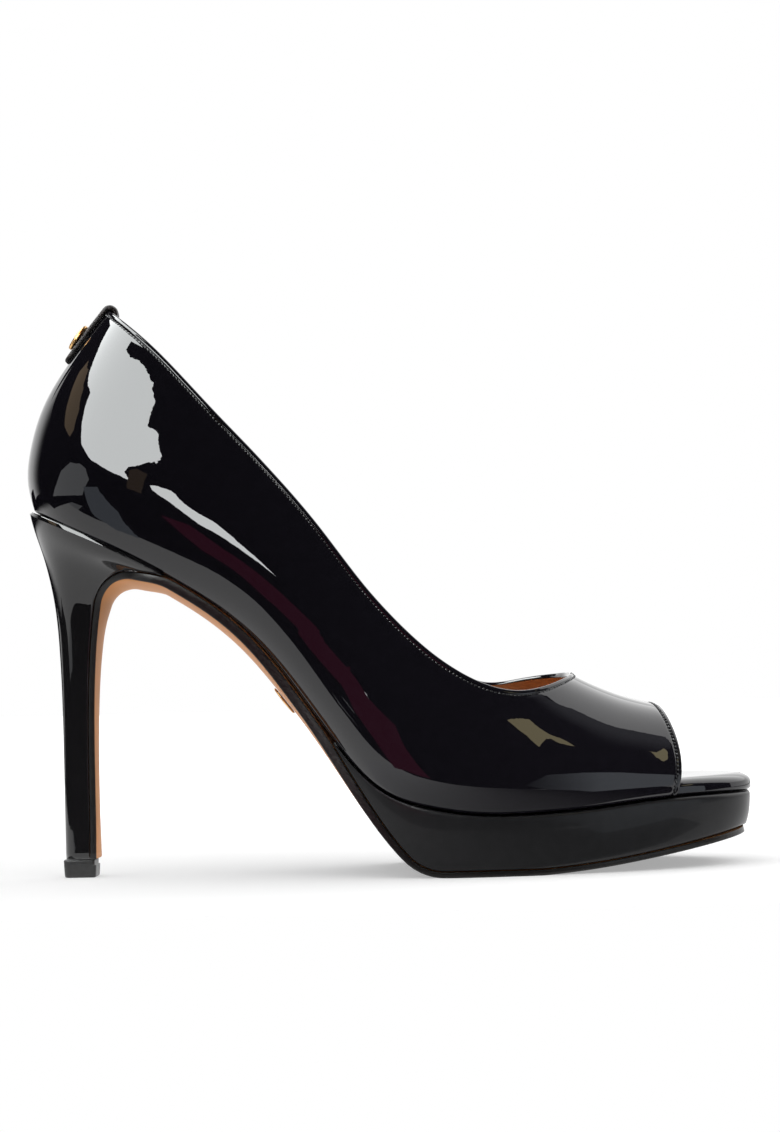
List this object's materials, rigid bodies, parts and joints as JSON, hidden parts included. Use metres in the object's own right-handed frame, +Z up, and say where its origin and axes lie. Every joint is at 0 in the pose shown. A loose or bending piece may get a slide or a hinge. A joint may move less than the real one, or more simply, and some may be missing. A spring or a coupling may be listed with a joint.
{
  "type": "peep-toe platform stiletto pump",
  "caption": "Women's right platform pump with a peep toe, a tall slim covered heel, a low scooped collar and an arched sole, in glossy patent leather.",
  "frame": {"origin": "under the middle of the shoe's box, on the floor that the heel tip and the ball stand on", "axes": "+X to the toe, +Y to the inner (medial) side of the foot, +Z up"},
  "size_m": [0.2104, 0.0806, 0.1679],
  "materials": {
    "patent_black": "glossy patent leather with a clear coat",
    "sole_tan": "smooth tan leather, satin",
    "strip_black": "grained black leather, matte",
    "tip_black": "hard black rubber, satin",
    "gold": "polished gilt metal"
  },
  "bodies": {
    "root": {"upper": "patent_black", "insole": "patent_black", "platform": "patent_black", "outsole": "sole_tan", "heel": "patent_black", "heel_tip": "tip_black", "back_strip": "strip_black", "back_ornament": "gold", "sole_disc": "gold"}
  },
  "joints": []
}
